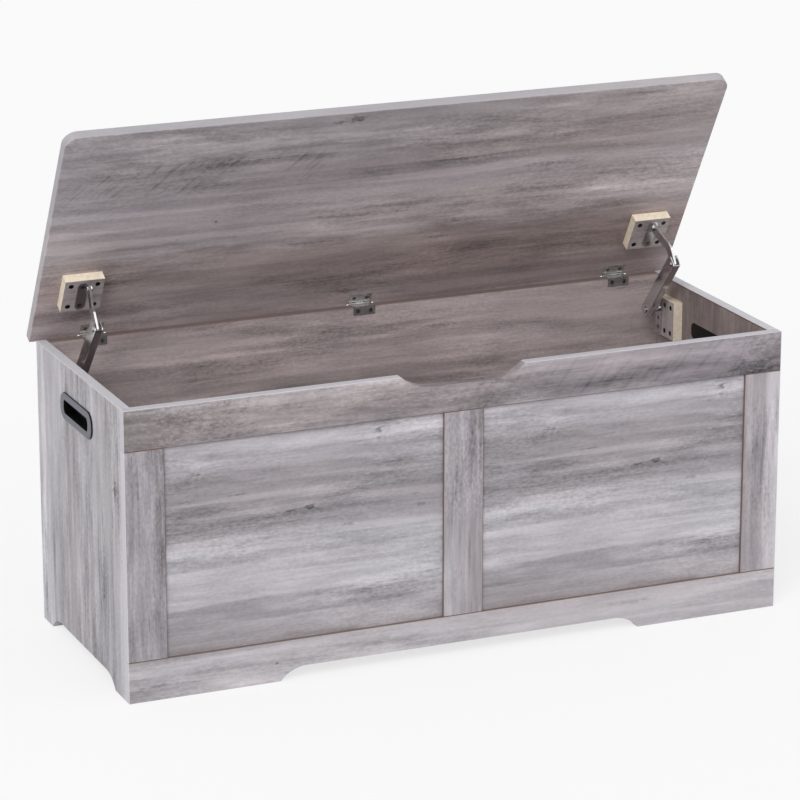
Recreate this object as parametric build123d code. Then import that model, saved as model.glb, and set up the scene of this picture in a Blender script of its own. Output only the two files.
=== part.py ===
"""Wooden toy box: a lift-top chest of laminated boards, its lid held open by two folding stays.

Millimetres. The front faces -Y and +Z is up. Everything is drawn with the front face at Y = 0 and the
floor at Z = 0, and is moved at the end so that the origin lies on the floor, under the middle of the box
that bounds the chest with its lid open.
"""
from build123d import *
import math
import os

# Case
BOARD = 15.0
EDGE_ROUND = 0.8
BODY_WIDTH = 992.0
BODY_DEPTH = 372.0
BODY_HEIGHT = 416.0
BOTTOM_CLEARANCE = 28.0

# Front frame and its two field panels
TOP_RAIL = 58.0
BOTTOM_RAIL = 59.0
SIDE_STILE = 57.0
CENTRE_STILE = 60.0
FIELD_THICKNESS = 6.0
FIELD_SETBACK = 4.0
GROOVE_DEPTH = 7.0
FIELD_EDGE_CLEARANCE = 1.0
FIELD_FACE_CLEARANCE = 0.2

# Finger notch in the top rail, and the arched foot lines
NOTCH_WIDTH = 188.0
NOTCH_DEPTH = 18.5
NOTCH_RADIUS = 70.0
ARCH_HEIGHT = 18.5
ARCH_RADIUS = 50.0
FRONT_FOOT = 221.0
SIDE_FOOT = 40.0

# Handle cups let into the side panels
HANDLE_DROP = 60.0
HANDLE_OPENING = (104.0, 20.0)
HANDLE_OPENING_RADIUS = 7.0
HANDLE_BAND = (14.0, 9.5)
HANDLE_FLANGE_RADIUS = 17.0
HANDLE_FLANGE_THICKNESS = 3.0
HANDLE_WALL = 2.0
HANDLE_EDGE_ROUND = 1.2
HANDLE_CLEARANCE = 0.2

# Lid
LID_SIDE_OVERHANG = 7.5
LID_FRONT_OVERHANG = 5.0
LID_REAR_OVERHANG = 8.5
LID_CORNER_RADIUS = 20.0
LID_GAP = 2.4
LID_OPEN_ANGLE = 60.0

# Hinges: three, with the axis just behind the top edge of the back
HINGE_INSET = 83.0
HINGE_BEHIND = 3.0
HINGE_DROP = 0.5
LEAF_WIDTH = 34.0
LEAF_THICKNESS = 1.0
LEAF_DROP = 12.0
LEAF_REACH = 18.0
LEAF_SCREW_SPREAD = 20.0
BARREL_RADIUS = 2.5
PIN_RADIUS = 1.5
PIN_BALL_RADIUS = 2.4
CENTRE_KNUCKLE = 13.4
KNUCKLE_GAP = 0.3
HINGE_CLEARANCE = 0.4
RUNNING_CLEARANCE = 0.05

# Packing blocks under the lid and on the side panels
BLOCK_SIZE = 58.0
BLOCK_SCREW_INSET = 9.5
LID_BLOCK_INSET = 31.5
LID_BLOCK_FROM_REAR = 69.5
SIDE_BLOCK_DROP = 26.0
SIDE_BLOCK_FROM_BACK = 22.0

# Lid stays: a parallelogram of hinge axis, lid pivot, elbow and base pivot
BASE_PIVOT_FORWARD = 52.0
BASE_PIVOT_DROP = 44.0
LID_PIVOT_REACH = 121.5
PLATE_THICKNESS = 1.5
PLATE_WIDTH = 15.0
PLATE_END_MARGIN = 4.0
PLATE_SCREW_PITCH = 35.0
BASE_PLATE_WIDTH = 18.0
BASE_SCREW_PITCH = 14.0
LINK_THICKNESS = 3.0
LINK_WIDTH = 13.0
LINK_KNEE = (40.0, 26.0)
LINK_SET_OVER = 7.0
LINK_PLATE_CLEARANCE = 2.0
LINK_FACE_CLEARANCE = 0.3
EAR_FOOT = 14.5
EAR_FOOT_SKIN = 0.375
CHANNEL_STAND_OFF = 12.0
CHANNEL_WIDTH = 12.0
CHANNEL_WEB_SIDE = 9.5
CHANNEL_OPEN_SIDE = 10.5
CHANNEL_END = 9.0
CHANNEL_END_RADIUS = 5.0
CHANNEL_SHEET = 1.5
CHANNEL_BEND = 1.5
RIVET_RADIUS = 2.5
RIVET_HEAD_RADIUS = 4.5
RIVET_HEAD = 1.2
WASHER_RADIUS = 6.0
WASHER_CLEARANCE = 0.05
STUD_RADIUS = 3.0
STUD_SHOULDER_RADIUS = 5.0

# Wood screws: head radius, head height, shank radius; the cross recess spans a share of the head radius
SMALL_SCREW = (3.2, 1.8, 1.5)
BLOCK_SCREW = (3.8, 2.4, 2.0)
SCREW_TIP = 3.0
SCREW_SKIN = 4.0
SCREW_CLEARANCE = 0.05
RECESS_SPAN = 1.1
RECESS_WIDTH = 0.9
RECESS_DEPTH = 1.0

# Dowels and cam fittings
DOWEL_RADIUS = 4.0
DOWEL_LENGTH = 30.0
DOWEL_SKIN = 5.0
DOWEL_SPREAD = 30.0
DOWEL_CLEARANCE = 0.05
DOWEL_END_CLEARANCE = 0.5
BOTTOM_DOWEL_INSETS = (80.0, 330.0)
CAM_RADIUS = 7.4
CAM_CLEARANCE = 0.1
CAM_SKIN = 2.5
CAM_SET_IN = 34.0
CAM_SLOT_WIDTH = 1.6
CAM_SLOT_DEPTH = 2.0
BOLT_RADIUS = 3.0
BOLT_NECK_RADIUS = 1.8
BOLT_NECK = 4.0
BOLT_HEAD = 4.0
BOLT_BORE_RADIUS = 4.0
BOLT_SKIN = 4.0
BOLT_CLEARANCE = 0.02
CAM_INSET = 80.0
STILE_CAM_INSET = 51.0

# Places that follow from the sizes above
HALF_WIDTH = BODY_WIDTH / 2
INNER_X = HALF_WIDTH - BOARD
BACK_INNER = BODY_DEPTH - BOARD
RAIL_LOW = BODY_HEIGHT - TOP_RAIL
STILE_INNER = HALF_WIDTH - SIDE_STILE
BOTTOM_TOP = BOTTOM_CLEARANCE + BOARD
LID_WIDTH = BODY_WIDTH + 2 * LID_SIDE_OVERHANG
LID_REAR = BODY_DEPTH + LID_REAR_OVERHANG
LID_FRONT = -LID_FRONT_OVERHANG
LID_UNDER = BODY_HEIGHT + LID_GAP
AXIS_Y = BODY_DEPTH + HINGE_BEHIND
AXIS_Z = BODY_HEIGHT - HINGE_DROP
BLOCK_FACE_X = INNER_X - BOARD
PASS = 1.0


def block(x0, x1, y0, y1, z0, z1):
    """Plain box between two corners."""
    return Pos((x0 + x1) / 2, (y0 + y1) / 2, (z0 + z1) / 2) * Box(x1 - x0, y1 - y0, z1 - z0)


def board(x0, x1, y0, y1, z0, z1):
    """Board with its edges eased."""
    solid = block(x0, x1, y0, y1, z0, z1)
    return fillet(solid.edges(), EDGE_ROUND)


def rod(start, direction, radius, length):
    """Cylinder that begins at a point and runs along a direction."""
    seat = Plane(origin=start, z_dir=direction)
    return seat * Cylinder(radius, length, align=(Align.CENTER, Align.CENTER, Align.MIN))


def scoop(width, depth, radius):
    """Face of a flat-topped cut with round ends: mouth on local X, cut along local +Y."""
    half = width / 2
    run = math.sqrt(2 * radius * depth - depth**2)
    half_turn = math.asin(run / radius) / 2
    mid = (half - run + radius * math.sin(half_turn), depth - radius + radius * math.cos(half_turn))
    right = ThreePointArc((half - run, depth), mid, (half, 0))
    left = ThreePointArc((-half, 0), (-mid[0], mid[1]), (run - half, depth))
    top = Line((run - half, depth), (half - run, depth))
    mouth = Polyline((half, 0), (half, -PASS), (-half, -PASS), (-half, 0))
    return make_face([top, right, mouth, left])


def screw_profile(sizes, length, grow, rise):
    """Half section of a countersunk screw along local +Z, with its head's face at Z = 0."""
    head, height, shank = sizes
    points = [(0, -rise), (head + grow, -rise)]
    if rise:
        points.append((head + grow, 0))
    points += [(shank + grow, height), (shank + grow, length - SCREW_TIP + grow), (0, length + grow)]
    return make_face(Plane.XZ * Polyline(*points, close=True))


def screw(sizes, length):
    """Countersunk screw with a cross recess, driven along local +Z."""
    body = revolve(screw_profile(sizes, length, 0, 0), Axis.Z)
    bar = Box(sizes[0] * RECESS_SPAN, RECESS_WIDTH, 2 * RECESS_DEPTH)
    return body - bar - Rot(0, 0, 90) * bar


def screw_hole(sizes, length):
    """What a countersunk screw takes out of the pieces it passes through."""
    return revolve(screw_profile(sizes, length, SCREW_CLEARANCE, PASS), Axis.Z)


def place(shape, seats):
    """One copy of a shape on each seat plane."""
    return [seat * shape for seat in seats]


def cut_all(shape, tools):
    """Shape with every tool taken out of it."""
    return shape - tools if tools else shape


def hull(circles):
    """Filled outline drawn tight round circles given as (y, z, radius), in the YZ plane."""
    edges = []
    for y, z, radius in circles:
        edges += (Pos(y, z) * Circle(radius)).edges()
    return make_hull(edges)


def slab(face, x0, x1):
    """Flat piece with an outline in the YZ plane, between two X places."""
    return extrude(Plane.YZ.offset(x0) * face, amount=x1 - x0)


def pivot(y, z, x0, x1, radius):
    """Round bar along X at a pivot."""
    return rod((x0, y, z), (1, 0, 0), radius, x1 - x0)


def turned(y, z, angle):
    """Place in the YZ plane after the lid has opened by an angle from closed."""
    turn = math.radians(angle)
    dy = y - AXIS_Y
    dz = z - AXIS_Z
    new_y = AXIS_Y + dy * math.cos(turn) + dz * math.sin(turn)
    new_z = AXIS_Z - dy * math.sin(turn) + dz * math.cos(turn)
    return new_y, new_z


def lifted(shape):
    """Piece of the closed lid, turned up to the open rest pose."""
    return Pos(0, AXIS_Y, AXIS_Z) * Rot(-LID_OPEN_ANGLE, 0, 0) * Pos(0, -AXIS_Y, -AXIS_Z) * shape


def mirrored(shape):
    """The same piece on the left-hand side."""
    return mirror(shape, about=Plane.YZ)


nodes = {}


def keep(name, *solids):
    """Remember a node's solids under its name."""
    nodes[name] = list(solids)


# Screw seats that more than one piece needs
leaf_screw_length = LEAF_THICKNESS + BOARD - SCREW_SKIN
plate_screw_length = PLATE_THICKNESS + BOARD - SCREW_SKIN
block_screw_length = 2 * BOARD - SCREW_SKIN
hinge_places = [HINGE_INSET - HALF_WIDTH, 0.0, HALF_WIDTH - HINGE_INSET]
screw_sides = [-LEAF_SCREW_SPREAD / 2, LEAF_SCREW_SPREAD / 2]
leaf_face_y = BACK_INNER - LEAF_THICKNESS
leaf_face_z = LID_UNDER - LEAF_THICKNESS
body_screw_z = BODY_HEIGHT - LEAF_DROP / 2
lid_screw_y = AXIS_Y - (LEAF_REACH + BARREL_RADIUS) / 2
hinge_xs = [x + side for x in hinge_places for side in screw_sides]
body_leaf_seats = [Plane((x, leaf_face_y, body_screw_z), z_dir=(0, 1, 0)) for x in hinge_xs]
lid_leaf_seats = [Plane((x, lid_screw_y, leaf_face_z), z_dir=(0, 0, 1)) for x in hinge_xs]

# Side blocks: a packer on each side panel, with two rows of screws beside the stay's base plate
base_pivot_y = AXIS_Y - BASE_PIVOT_FORWARD
base_pivot_z = AXIS_Z - BASE_PIVOT_DROP
side_block_rear = BACK_INNER - SIDE_BLOCK_FROM_BACK
side_block_front = side_block_rear - BLOCK_SIZE
side_block_top = BODY_HEIGHT - SIDE_BLOCK_DROP
side_block_low = side_block_top - BLOCK_SIZE
side_screw_ys = [side_block_front + BLOCK_SCREW_INSET, base_pivot_y - BASE_PLATE_WIDTH]
side_screw_zs = [side_block_low + BLOCK_SCREW_INSET, side_block_top - BLOCK_SCREW_INSET]
side_screw_places = [(BLOCK_FACE_X, y, z) for y in side_screw_ys for z in side_screw_zs]
side_screw_seats = [Plane(point, z_dir=(1, 0, 0)) for point in side_screw_places]
base_face_x = BLOCK_FACE_X - PLATE_THICKNESS
base_screw_zs = [base_pivot_z - BASE_SCREW_PITCH, base_pivot_z - 2 * BASE_SCREW_PITCH]
base_screw_seats = [Plane((base_face_x, base_pivot_y, z), z_dir=(1, 0, 0)) for z in base_screw_zs]

# Cam fittings: each has a bolt that enters one board's face and a cam let into the other board
cam_depth = BOARD - CAM_SKIN
bolt_depth = BOARD - BOLT_SKIN
side_mid_x = HALF_WIDTH - BOARD / 2
back_mid_y = BODY_DEPTH - BOARD / 2
bottom_mid_z = BOTTOM_CLEARANCE + BOARD / 2
back_cam_zs = [BOTTOM_CLEARANCE + CAM_INSET, BODY_HEIGHT - CAM_INSET]
bottom_cam_ys = [BOARD + CAM_INSET, BACK_INNER - CAM_INSET]
stile_cam_zs = [BOTTOM_RAIL + STILE_CAM_INSET, RAIL_LOW - STILE_CAM_INSET]
cam_fits = []
for z in back_cam_zs:
    cam_fits.append(((INNER_X, back_mid_y, z), (-1, 0, 0), (0, -1, 0), "back"))
for y in bottom_cam_ys:
    cam_fits.append(((INNER_X, y, bottom_mid_z), (-1, 0, 0), (0, 0, 1), "bottom"))
for z in stile_cam_zs:
    cam_fits.append(((side_mid_x, BOARD, z), (0, 1, 0), (1, 0, 0), "side"))


def cam_seat(fit):
    """Plane at the mouth of a cam's bore, with local +Z into the board and local X along the bolt."""
    joint, along, inward, _ = fit
    mouth = [j + a * CAM_SET_IN - i * BOARD / 2 for j, a, i in zip(joint, along, inward)]
    return Plane(origin=tuple(mouth), x_dir=along, z_dir=inward)


def cam_bore(fit):
    """Bore for a cam together with the bolt's way to it."""
    bore = cam_seat(fit) * Pos(0, 0, -PASS) * Cylinder(
        CAM_RADIUS + CAM_CLEARANCE, cam_depth + PASS, align=(Align.CENTER, Align.CENTER, Align.MIN)
    )
    return [bore, rod(fit[0], fit[1], BOLT_BORE_RADIUS, CAM_SET_IN)]


def bolt_hole(fit):
    """Threaded hole for a cam bolt in the board's face."""
    back = tuple(-a for a in fit[1])
    return rod(fit[0], back, BOLT_RADIUS + BOLT_CLEARANCE, bolt_depth)


def cam(fit):
    """Cam housing with a cross slot on its face and a hollow that the bolt's head enters."""
    body = Cylinder(CAM_RADIUS, cam_depth, align=(Align.CENTER, Align.CENTER, Align.MIN))
    slot = Box(CAM_RADIUS, CAM_SLOT_WIDTH, 2 * CAM_SLOT_DEPTH)
    mouth = -CAM_RADIUS - PASS
    way = rod((mouth, 0, BOARD / 2), (1, 0, 0), BOLT_BORE_RADIUS, BOLT_HEAD - mouth)
    return cam_seat(fit) * (body - slot - Rot(0, 0, 90) * slot - way)


def cam_bolt(fit):
    """Bolt with a threaded end in one board and a necked head inside the cam."""
    reach = CAM_SET_IN + BOLT_HEAD / 2
    neck_end = reach - BOLT_HEAD
    points = [(0, -bolt_depth), (BOLT_RADIUS, -bolt_depth), (BOLT_RADIUS, neck_end - BOLT_NECK)]
    points += [(BOLT_NECK_RADIUS, neck_end - BOLT_NECK), (BOLT_NECK_RADIUS, neck_end)]
    points += [(BOLT_RADIUS, neck_end), (BOLT_RADIUS, reach), (0, reach)]
    shape = revolve(make_face(Plane.XZ * Polyline(*points, close=True)), Axis.Z)
    return Plane(origin=fit[0], z_dir=fit[1]) * shape


# Dowels: the point where two boards meet, and the direction into the deeper hole
face_depth = BOARD - DOWEL_SKIN
edge_depth = DOWEL_LENGTH - face_depth
frame_mid_y = BOARD / 2
stile_mids = [SIDE_STILE / 2 - HALF_WIDTH, 0.0, HALF_WIDTH - SIDE_STILE / 2]
dowel_xs = [mid + side for mid in stile_mids for side in (-DOWEL_SPREAD / 2, DOWEL_SPREAD / 2)]
frame_dowels = [((x, frame_mid_y, RAIL_LOW), (0, 0, -1), DOWEL_LENGTH / 2) for x in dowel_xs]
frame_dowels += [((x, frame_mid_y, BOTTOM_RAIL), (0, 0, 1), DOWEL_LENGTH / 2) for x in dowel_xs]
rail_mids = [BODY_HEIGHT - TOP_RAIL / 2, BOTTOM_RAIL / 2]
side_dowels = [((side_mid_x, BOARD, z), (0, 1, 0), face_depth) for z in rail_mids]
bottom_dowel_xs = [HALF_WIDTH - inset for inset in BOTTOM_DOWEL_INSETS]
bottom_dowel_xs += [-x for x in bottom_dowel_xs]
bottom_dowels = [((x, BOARD, bottom_mid_z), (0, 1, 0), face_depth) for x in bottom_dowel_xs]
bottom_dowels += [((x, BACK_INNER, bottom_mid_z), (0, -1, 0), face_depth) for x in bottom_dowel_xs]


def dowel(fit):
    """Round dowel across a joint."""
    point, into, behind = fit
    start = tuple(p - i * behind for p, i in zip(point, into))
    return rod(start, into, DOWEL_RADIUS, DOWEL_LENGTH)


def dowel_hole(fit):
    """Both halves of a dowel's hole, a little longer than the dowel."""
    point, into, behind = fit
    start = tuple(p - i * (behind + DOWEL_END_CLEARANCE) for p, i in zip(point, into))
    return rod(start, into, DOWEL_RADIUS + DOWEL_CLEARANCE, DOWEL_LENGTH + 2 * DOWEL_END_CLEARANCE)


def mirrored_dowel(fit):
    """The same dowel on the left-hand side."""
    (x, y, z), into, behind = fit
    return (-x, y, z), into, behind


all_side_dowels = side_dowels + [mirrored_dowel(fit) for fit in side_dowels]

# Handle cups: a flange on the outer face and a sleeve through the board, closed at its inner end
handle_mid_y = (BOARD + BODY_DEPTH) / 2
handle_mid_z = BODY_HEIGHT - HANDLE_DROP
handle_plane = Plane((HALF_WIDTH, handle_mid_y, handle_mid_z), x_dir=(0, 1, 0), z_dir=(1, 0, 0))
sleeve = [size + 2 * HANDLE_WALL for size in HANDLE_OPENING]
flange = [size + 2 * band for size, band in zip(HANDLE_OPENING, HANDLE_BAND)]
slot = [size + 2 * HANDLE_CLEARANCE for size in sleeve]
sleeve_radius = HANDLE_OPENING_RADIUS + HANDLE_WALL
cup = extrude(handle_plane * RectangleRounded(*flange, HANDLE_FLANGE_RADIUS), HANDLE_FLANGE_THICKNESS)
cup = fillet(cup.faces().sort_by(Axis.X)[-1].edges(), HANDLE_EDGE_ROUND)
cup += extrude(handle_plane * RectangleRounded(*sleeve, sleeve_radius), -BOARD)
opening_face = handle_plane * RectangleRounded(*HANDLE_OPENING, HANDLE_OPENING_RADIUS)
pocket_depth = BOARD - HANDLE_WALL
cup -= extrude(opening_face, HANDLE_FLANGE_THICKNESS + PASS) + extrude(opening_face, -pocket_depth)
slot_face = handle_plane * RectangleRounded(*slot, sleeve_radius + HANDLE_CLEARANCE)
keep("right_handle_cup", cup)
keep("left_handle_cup", mirrored(cup))

# Side panels: slot for the handle, arch between the feet, bores for the fittings
side = board(INNER_X, HALF_WIDTH, BOARD, BODY_DEPTH, 0, BODY_HEIGHT)
side_arch = scoop(BODY_DEPTH - BOARD - 2 * SIDE_FOOT, ARCH_HEIGHT, ARCH_RADIUS)
arch_plane = Plane((INNER_X - PASS, handle_mid_y, 0), x_dir=(0, 1, 0), z_dir=(1, 0, 0))
side -= extrude(arch_plane * side_arch, BOARD + 2 * PASS)
side -= extrude(slot_face, PASS) + extrude(slot_face, -BOARD - PASS)
side_tools = [dowel_hole(fit) for fit in side_dowels]
side_tools += place(screw_hole(BLOCK_SCREW, block_screw_length), side_screw_seats)
for fit in cam_fits:
    if fit[3] == "side":
        side_tools += cam_bore(fit)
    else:
        side_tools.append(bolt_hole(fit))
side = cut_all(side, side_tools)
keep("right_side_panel", side)
keep("left_side_panel", mirrored(side))

# Back panel between the sides
back = board(-INNER_X, INNER_X, BACK_INNER, BODY_DEPTH, BOTTOM_CLEARANCE, BODY_HEIGHT)
back_tools = place(screw_hole(SMALL_SCREW, leaf_screw_length), body_leaf_seats)
back_tools += [dowel_hole(fit) for fit in bottom_dowels if fit[0][1] > BOARD]
for fit in cam_fits:
    if fit[3] == "back":
        bores = cam_bore(fit)
        back_tools += bores + [mirrored(bore) for bore in bores]
keep("back_panel", cut_all(back, back_tools))

# Bottom panel between sides, back and front frame
bottom = board(-INNER_X, INNER_X, BOARD, BACK_INNER, BOTTOM_CLEARANCE, BOTTOM_TOP)
bottom_tools = [dowel_hole(fit) for fit in bottom_dowels]
for fit in cam_fits:
    if fit[3] == "bottom":
        bores = cam_bore(fit)
        bottom_tools += bores + [mirrored(bore) for bore in bores]
keep("bottom_panel", cut_all(bottom, bottom_tools))

# Field panels, held in grooves of the rails and stiles
tongue = GROOVE_DEPTH - FIELD_EDGE_CLEARANCE
field_x0 = CENTRE_STILE / 2
field_rear = FIELD_SETBACK + FIELD_THICKNESS
groove_front = FIELD_SETBACK - FIELD_FACE_CLEARANCE
field = block(
    field_x0 - tongue, STILE_INNER + tongue, FIELD_SETBACK, field_rear,
    BOTTOM_RAIL - tongue, RAIL_LOW + tongue,
)
groove = block(
    field_x0 - GROOVE_DEPTH, STILE_INNER + GROOVE_DEPTH, groove_front, field_rear,
    BOTTOM_RAIL - GROOVE_DEPTH, RAIL_LOW + GROOVE_DEPTH,
)
grooves = [groove, mirrored(groove)]
keep("front_right_field", field)
keep("front_left_field", mirrored(field))

# Front frame: full-width rails with the stiles between them
frame_holes = [dowel_hole(fit) for fit in frame_dowels]
side_holes = [dowel_hole(fit) for fit in all_side_dowels]
top_rail = board(-HALF_WIDTH, HALF_WIDTH, 0, BOARD, RAIL_LOW, BODY_HEIGHT)
notch_plane = Plane((0, -PASS, BODY_HEIGHT), x_dir=(1, 0, 0), z_dir=(0, 1, 0))
top_rail -= extrude(notch_plane * scoop(NOTCH_WIDTH, NOTCH_DEPTH, NOTCH_RADIUS), BOARD + 2 * PASS)
keep("front_top_rail", cut_all(top_rail, grooves + frame_holes + side_holes))

bottom_rail = board(-HALF_WIDTH, HALF_WIDTH, 0, BOARD, 0, BOTTOM_RAIL)
front_arch = scoop(BODY_WIDTH - 2 * FRONT_FOOT, ARCH_HEIGHT, ARCH_RADIUS)
front_arch_plane = Plane((0, BOARD + PASS, 0), x_dir=(1, 0, 0), z_dir=(0, -1, 0))
bottom_rail -= extrude(front_arch_plane * front_arch, BOARD + 2 * PASS)
rail_holes = [dowel_hole(fit) for fit in bottom_dowels if fit[0][1] == BOARD]
keep("front_bottom_rail", cut_all(bottom_rail, grooves + frame_holes + side_holes + rail_holes))

centre_stile = board(-CENTRE_STILE / 2, CENTRE_STILE / 2, 0, BOARD, BOTTOM_RAIL, RAIL_LOW)
keep("front_centre_stile", cut_all(centre_stile, grooves + frame_holes))
stile = board(STILE_INNER, HALF_WIDTH, 0, BOARD, BOTTOM_RAIL, RAIL_LOW)
stile_tools = grooves + frame_holes + [bolt_hole(fit) for fit in cam_fits if fit[3] == "side"]
stile = cut_all(stile, stile_tools)
keep("front_right_stile", stile)
keep("front_left_stile", mirrored(stile))

# Dowels and cam fittings
keep("frame_dowels", *[dowel(fit) for fit in frame_dowels])
keep("case_dowels", *[dowel(fit) for fit in all_side_dowels + bottom_dowels])
cams = [cam(fit) for fit in cam_fits]
bolts = [cam_bolt(fit) for fit in cam_fits]
keep("cam_locks", *cams, *[mirrored(piece) for piece in cams])
keep("cam_bolts", *bolts, *[mirrored(piece) for piece in bolts])

# Lid board, drawn closed: rounded front corners and eased edges
half_lid = LID_WIDTH / 2
lid = block(-half_lid, half_lid, LID_FRONT, LID_REAR, LID_UNDER, LID_UNDER + BOARD)
lid = fillet(lid.edges().filter_by(Axis.Z).sort_by(Axis.Y)[:2], LID_CORNER_RADIUS)
lid = fillet(lid.faces().filter_by(Axis.Z).edges(), EDGE_ROUND)
lid_block_x1 = half_lid - LID_BLOCK_INSET
lid_block_x0 = lid_block_x1 - BLOCK_SIZE
lid_block_y1 = LID_REAR - LID_BLOCK_FROM_REAR
lid_block_y0 = lid_block_y1 - BLOCK_SIZE
lid_block_face = LID_UNDER - BOARD
lid_screw_xs = [lid_block_x0 + BLOCK_SCREW_INSET, lid_block_x1 - BLOCK_SCREW_INSET]
lid_screw_ys = [lid_block_y0 + BLOCK_SCREW_INSET, lid_block_y1 - BLOCK_SCREW_INSET]
lid_screw_places = [(x, y, lid_block_face) for x in lid_screw_xs for y in lid_screw_ys]
lid_screw_seats = [Plane(point, z_dir=(0, 0, 1)) for point in lid_screw_places]
block_holes = place(screw_hole(BLOCK_SCREW, block_screw_length), lid_screw_seats)
lid_tools = block_holes + [mirrored(hole) for hole in block_holes]
lid_tools += place(screw_hole(SMALL_SCREW, leaf_screw_length), lid_leaf_seats)
keep("lid_board", lifted(cut_all(lid, lid_tools)))

# Stay pivots at rest: the link joins the lid pivot to the elbow, in step with axis and base pivot
link_radius = LINK_WIDTH / 2
lid_plate_face = lid_block_face - PLATE_THICKNESS
lid_pivot_y = LID_REAR - LID_PIVOT_REACH
lid_pivot_z = lid_plate_face - link_radius - LINK_PLATE_CLEARANCE
rest_pivot_y, rest_pivot_z = turned(lid_pivot_y, lid_pivot_z, LID_OPEN_ANGLE)
elbow_y = rest_pivot_y - BASE_PIVOT_FORWARD
elbow_z = rest_pivot_z - BASE_PIVOT_DROP
channel_x1 = BLOCK_FACE_X - CHANNEL_STAND_OFF
channel_x0 = channel_x1 - CHANNEL_WIDTH
elbow_link_x0 = (channel_x0 + channel_x1 - LINK_THICKNESS) / 2
lid_link_x0 = elbow_link_x0 - LINK_SET_OVER
ear_x1 = lid_link_x0 - LINK_FACE_CLEARANCE
ear_x0 = ear_x1 - PLATE_THICKNESS
hole_radius = RIVET_RADIUS + RUNNING_CLEARANCE

# Lid blocks with their brackets: a tongue plate on two screws, and an ear that carries the lid pivot
plate_x1 = ear_x0 + PLATE_WIDTH
plate_mid_x = (ear_x1 + plate_x1) / 2
plate_mid_y = (lid_block_y0 + lid_block_y1) / 2
plate_half = BLOCK_SIZE / 2 - PLATE_END_MARGIN
bracket_screw_ys = [plate_mid_y - PLATE_SCREW_PITCH / 2, plate_mid_y + PLATE_SCREW_PITCH / 2]
bracket_seats = [Plane((plate_mid_x, y, lid_plate_face), z_dir=(0, 0, 1)) for y in bracket_screw_ys]
bracket_holes = place(screw_hole(SMALL_SCREW, plate_screw_length), bracket_seats)
tongue_face = Pos((ear_x0 + plate_x1) / 2, plate_mid_y, lid_plate_face) * RectangleRounded(
    plate_x1 - ear_x0, 2 * plate_half, PLATE_WIDTH / 2 - LINK_FACE_CLEARANCE
)
ear_foot_z = lid_block_face - PLATE_THICKNESS / 2
ear_foot_radius = PLATE_THICKNESS / 2 - EAR_FOOT_SKIN
ear_front_y = plate_mid_y - plate_half + link_radius
ear_face = hull([
    (lid_pivot_y, lid_pivot_z, link_radius),
    (ear_front_y, ear_foot_z, ear_foot_radius),
    (ear_front_y + EAR_FOOT, ear_foot_z, ear_foot_radius),
])
bracket = extrude(tongue_face, PLATE_THICKNESS) + slab(ear_face, ear_x0, ear_x1)
bracket -= pivot(lid_pivot_y, lid_pivot_z, ear_x0 - PASS, ear_x1 + PASS, hole_radius)
bracket = lifted(cut_all(bracket, bracket_holes))
keep("right_lid_bracket", bracket)
keep("left_lid_bracket", mirrored(bracket))

lid_block = block(lid_block_x0, lid_block_x1, lid_block_y0, lid_block_y1, lid_block_face, LID_UNDER)
lid_block = lifted(cut_all(lid_block, block_holes + bracket_holes))
keep("right_lid_block", lid_block)
keep("left_lid_block", mirrored(lid_block))

lid_screws = [lifted(piece) for piece in place(screw(BLOCK_SCREW, block_screw_length), lid_screw_seats)]
keep("lid_block_screws", *lid_screws, *[mirrored(piece) for piece in lid_screws])
bracket_screws = [lifted(piece) for piece in place(screw(SMALL_SCREW, plate_screw_length), bracket_seats)]
keep("lid_bracket_screws", *bracket_screws, *[mirrored(piece) for piece in bracket_screws])

# Side blocks with the stays' base plates and pivot studs
side_block = block(BLOCK_FACE_X, INNER_X, side_block_front, side_block_rear, side_block_low, side_block_top)
base_holes = place(screw_hole(SMALL_SCREW, plate_screw_length), base_screw_seats)
side_block_holes = place(screw_hole(BLOCK_SCREW, block_screw_length), side_screw_seats)
side_block = cut_all(side_block, base_holes + side_block_holes)
keep("right_side_block", side_block)
keep("left_side_block", mirrored(side_block))
side_screws = place(screw(BLOCK_SCREW, block_screw_length), side_screw_seats)
keep("side_block_screws", *side_screws, *[mirrored(piece) for piece in side_screws])

base_radius = BASE_PLATE_WIDTH / 2
stud_hole = STUD_RADIUS + RUNNING_CLEARANCE
base_foot_z = base_screw_zs[-1]
base_face = hull([(base_pivot_y, base_pivot_z, base_radius), (base_pivot_y, base_foot_z, base_radius)])
base_plate = slab(base_face, base_face_x, BLOCK_FACE_X)
base_plate -= pivot(base_pivot_y, base_pivot_z, base_face_x - PASS, BLOCK_FACE_X + PASS, stud_hole)
base_plate = cut_all(base_plate, base_holes)
keep("right_stay_base", base_plate)
keep("left_stay_base", mirrored(base_plate))
base_screws = place(screw(SMALL_SCREW, plate_screw_length), base_screw_seats)
keep("stay_base_screws", *base_screws, *[mirrored(piece) for piece in base_screws])

stud_head_x1 = channel_x0 - LINK_FACE_CLEARANCE
stud_shoulder_x0 = channel_x1 + LINK_FACE_CLEARANCE
stud = pivot(base_pivot_y, base_pivot_z, stud_head_x1 - RIVET_HEAD, BLOCK_FACE_X, STUD_RADIUS)
stud += pivot(base_pivot_y, base_pivot_z, stud_head_x1 - RIVET_HEAD, stud_head_x1, STUD_SHOULDER_RADIUS)
stud += pivot(base_pivot_y, base_pivot_z, stud_shoulder_x0, base_face_x, STUD_SHOULDER_RADIUS)
keep("right_stay_stud", stud)
keep("left_stay_stud", mirrored(stud))

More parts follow.
